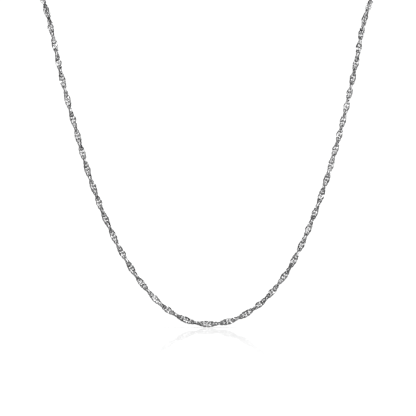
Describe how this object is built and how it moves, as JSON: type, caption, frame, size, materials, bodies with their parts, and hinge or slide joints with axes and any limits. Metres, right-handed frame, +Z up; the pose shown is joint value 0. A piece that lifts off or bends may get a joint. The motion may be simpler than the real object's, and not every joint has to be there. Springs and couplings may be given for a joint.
{
  "type": "singapore chain necklace",
  "caption": "Fine necklace of tiny oval links twisted into a rippling band, hanging in a narrow drop, closed at the nape by a ring clasp.",
  "frame": {"origin": "middle of the clasp, where the necklace lies on the nape", "axes": "+Z up, +X to the right of someone who looks at the front drop, which hangs at -Y"},
  "size_m": [0.1108, 0.1018, 0.108],
  "materials": {
    "chain_metal": "bright polished rhodium plate over silver",
    "clasp_metal": "polished rhodium plate over silver",
    "ring_metal": "polished rhodium plate over silver"
  },
  "bodies": {
    "root": {"chain": "chain_metal", "clasp": "clasp_metal", "jump_ring": "ring_metal", "end_ring": "ring_metal"}
  },
  "joints": []
}
